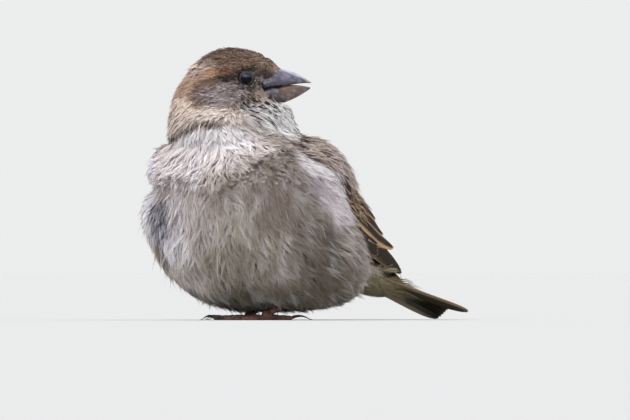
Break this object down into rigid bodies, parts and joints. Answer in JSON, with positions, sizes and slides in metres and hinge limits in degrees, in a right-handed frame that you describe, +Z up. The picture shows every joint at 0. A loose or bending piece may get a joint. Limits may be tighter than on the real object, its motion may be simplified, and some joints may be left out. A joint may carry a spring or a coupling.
{
  "type": "house sparrow",
  "caption": "Life-size still model of a resting house sparrow, plumage fluffed into a ball, head turned over its left shoulder, tail laid on the ground.",
  "frame": {"origin": "middle of the underside of the model's box, on the ground", "axes": "+Z up; the breast faces -Y and the tail runs towards +Y; +X is the bird's left"},
  "size_m": [0.0662, 0.1152, 0.0872],
  "materials": {
    "plumage": "soft matt body feathers, grey-white to buff",
    "crown": "soft matt head feathers, rufous grey-brown",
    "flight_feather": "smooth feather vanes with a slight sheen, dark brown with rufous edges",
    "horn": "satin grey horn",
    "pale_horn": "satin pinkish-brown horn",
    "scaled_skin": "satin scaled skin, pinkish brown",
    "claw": "satin slate-black horn",
    "eye": "wet gloss, nearly black"
  },
  "bodies": {
    "root": {"trunk": "plumage", "neck": "plumage", "head": "crown", "bill_upper": "horn", "bill_lower": "pale_horn", "eye_left": "eye", "eye_right": "eye", "wing_left": "flight_feather", "wing_right": "flight_feather", "tail": "flight_feather", "shank_left": "scaled_skin", "shank_right": "scaled_skin", "foot_left": "scaled_skin", "foot_right": "scaled_skin", "claw_left_inner": "claw", "claw_left_middle": "claw", "claw_left_outer": "claw", "claw_left_hind": "claw", "claw_right_inner": "claw", "claw_right_middle": "claw", "claw_right_outer": "claw", "claw_right_hind": "claw"}
  },
  "joints": []
}
